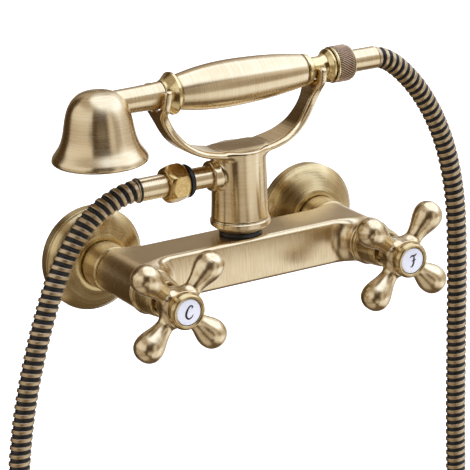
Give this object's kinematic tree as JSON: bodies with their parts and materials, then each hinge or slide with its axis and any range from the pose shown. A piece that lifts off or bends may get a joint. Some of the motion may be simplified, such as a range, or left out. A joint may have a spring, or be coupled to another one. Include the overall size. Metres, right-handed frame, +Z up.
{
  "type": "wall mounted shower mixer",
  "caption": "Antique brass wall mixer with cross handles, a telephone cradle on a swivelling column, a bell hand shower and a metal hose.",
  "frame": {"origin": "on the face of the wall, midway between the two water inlets, at the height of their axes", "axes": "+X to the right along the body as seen from in front, +Y into the wall, +Z up"},
  "size_m": [0.3268, 0.1363, 0.5604],
  "materials": {
    "brushed_brass": "antique brass, brushed and lacquered",
    "polished_brass": "antique brass, polished",
    "bare_brass": "yellow brass, machined",
    "dark_brass": "bronzed brass, knurled",
    "hose_metal": "wound strip with dark grooves",
    "steel_screw": "stainless steel, machined",
    "black_rubber": "matt black",
    "porcelain": "white glazed porcelain, opaque"
  },
  "bodies": {
    "mixer": {"mixer_body": "brushed_brass", "wall_union_left": "bare_brass", "rosette_left": "brushed_brass", "union_nut_left": "brushed_brass", "union_washer_left": "black_rubber", "bonnet_left": "brushed_brass", "ceramic_headwork_left": "bare_brass", "headwork_gasket_left": "black_rubber", "wall_union_right": "bare_brass", "rosette_right": "brushed_brass", "union_nut_right": "brushed_brass", "union_washer_right": "black_rubber", "bonnet_right": "brushed_brass", "ceramic_headwork_right": "bare_brass", "headwork_gasket_right": "black_rubber", "column_spigot": "bare_brass", "swivel_seal": "black_rubber", "spigot_o_ring": "black_rubber"},
    "hot_handle": {"spindle_left": "bare_brass", "cross_handle_left": "brushed_brass", "handle_screw_left": "steel_screw", "index_bezel_left": "polished_brass", "porcelain_index_left": "porcelain"},
    "cold_handle": {"spindle_right": "bare_brass", "cross_handle_right": "brushed_brass", "handle_screw_right": "steel_screw", "index_bezel_right": "polished_brass", "porcelain_index_right": "porcelain"},
    "cradle": {"swivel_collar": "brushed_brass", "cradle_column": "brushed_brass", "cradle_yoke": "brushed_brass", "outlet_nipple": "brushed_brass", "outlet_collar": "black_rubber", "hose_hex_nut": "bare_brass", "lower_hose_seal": "black_rubber", "lower_ferrule": "brushed_brass", "hose_lower_run": "hose_metal"},
    "handset": {"shower_bell": "brushed_brass", "spray_plate": "brushed_brass", "spray_plate_seal": "black_rubber", "spray_screw": "steel_screw", "shower_neck": "brushed_brass", "front_collar": "polished_brass", "water_tube": "bare_brass", "grip": "brushed_brass", "rear_collar": "polished_brass", "shower_tail": "brushed_brass", "upper_hose_seal": "black_rubber", "knurled_nut": "dark_brass", "upper_ferrule": "polished_brass", "hose_upper_run": "hose_metal"}
  },
  "joints": [
    {"name": "hot_handle_turn", "type": "hinge", "parent": "mixer", "child": "hot_handle", "pos_m": [-0.075, -0.109, 0], "axis": [0, -1, 0], "range_deg": [0, 90]},
    {"name": "cold_handle_turn", "type": "hinge", "parent": "mixer", "child": "cold_handle", "pos_m": [0.075, -0.109, 0], "axis": [0, 1, 0], "range_deg": [0, 90]},
    {"name": "cradle_swivel", "type": "hinge", "parent": "mixer", "child": "cradle", "pos_m": [0, -0.051, 0.0205], "axis": [0, 0, 1], "range_deg": [-12, 12]},
    {"name": "handset_lift", "type": "slide", "parent": "cradle", "child": "handset", "axis": [0, 0, 1], "range_m": [0, 0.075]}
  ]
}
